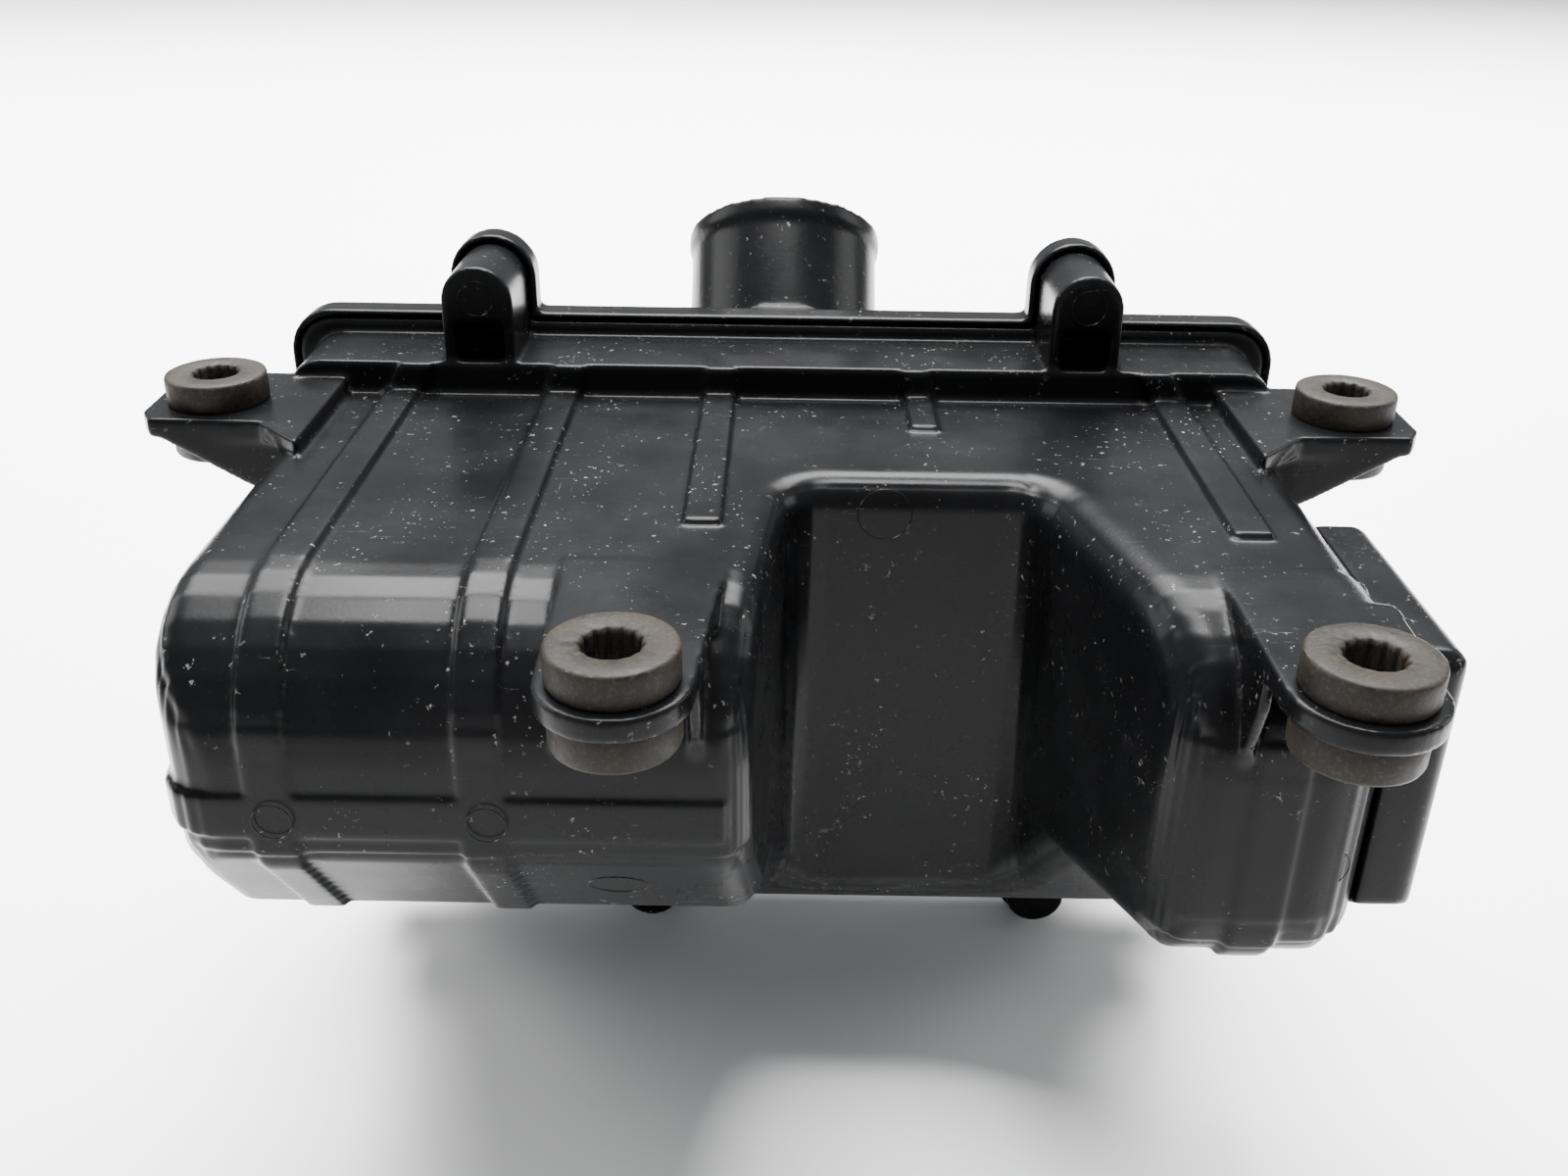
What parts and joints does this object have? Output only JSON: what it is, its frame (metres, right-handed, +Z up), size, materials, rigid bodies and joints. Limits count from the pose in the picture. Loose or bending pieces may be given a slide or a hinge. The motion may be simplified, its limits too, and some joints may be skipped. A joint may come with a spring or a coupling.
{
  "type": "engine air intake filter box",
  "caption": "Moulded black air filter box with a two-lobed front, screwed rear cover, angled hose spigot, side inlet and rubber mounting grommets on ears.",
  "frame": {"origin": "midway between the two rear mounting holes, in the plane of the rear grommets' top faces", "axes": "+Z up along the mounting bolts, +X to the right along the box's length seen from its front lobes, +Y from the front towards the cover"},
  "size_m": [0.308, 0.2542, 0.2252],
  "materials": {
    "black_plastic": "satin, lightly scuffed",
    "mount_rubber": "matte, dusty",
    "soft_rubber": "matte",
    "filter_rim": "matte moulded polyurethane",
    "filter_paper": "matte resin-treated paper",
    "steel_mesh": "dull zinc",
    "zinc_steel": "zinc plated",
    "brass_insert": "turned"
  },
  "bodies": {
    "case_body": {"case": "black_plastic", "inlet_duct": "black_plastic", "grommet_rear_left": "mount_rubber", "grommet_rear_right": "mount_rubber", "grommet_front_left": "mount_rubber", "grommet_front_right": "mount_rubber", "insert_upper_left": "brass_insert", "insert_upper_right": "brass_insert", "insert_lower_left": "brass_insert", "insert_lower_right": "brass_insert"},
    "cover_body": {"cover": "black_plastic", "cover_seal": "soft_rubber"},
    "filter_body": {"filter_frame": "filter_rim", "filter_media": "filter_paper", "filter_screen": "steel_mesh"},
    "drain_plug_body": {"drain_plug": "soft_rubber"},
    "screw_upper_left_body": {"screw_upper_left": "zinc_steel"},
    "screw_upper_right_body": {"screw_upper_right": "zinc_steel"},
    "screw_lower_left_body": {"screw_lower_left": "zinc_steel"},
    "screw_lower_right_body": {"screw_lower_right": "zinc_steel"}
  },
  "joints": [
    {"name": "cover_off", "type": "slide", "parent": "case_body", "child": "cover_body", "axis": [0, 1, 0], "range_m": [0, 0.15]},
    {"name": "filter_out", "type": "slide", "parent": "case_body", "child": "filter_body", "axis": [0, 1, 0], "range_m": [0, 0.075]},
    {"name": "drain_plug_pull", "type": "slide", "parent": "cover_body", "child": "drain_plug_body", "axis": [0, 0, -1], "range_m": [0, 0.0125]},
    {"name": "screw_upper_left_out", "type": "slide", "parent": "cover_body", "child": "screw_upper_left_body", "axis": [0, 1, 0], "range_m": [0, 0.018]},
    {"name": "screw_upper_right_out", "type": "slide", "parent": "cover_body", "child": "screw_upper_right_body", "axis": [0, 1, 0], "range_m": [0, 0.018]},
    {"name": "screw_lower_left_out", "type": "slide", "parent": "cover_body", "child": "screw_lower_left_body", "axis": [0, 1, 0], "range_m": [0, 0.018]},
    {"name": "screw_lower_right_out", "type": "slide", "parent": "cover_body", "child": "screw_lower_right_body", "axis": [0, 1, 0], "range_m": [0, 0.018]}
  ],
  "couplings": [
    {"joint": "filter_out", "follows": "cover_off", "ratio": 0.5}
  ]
}
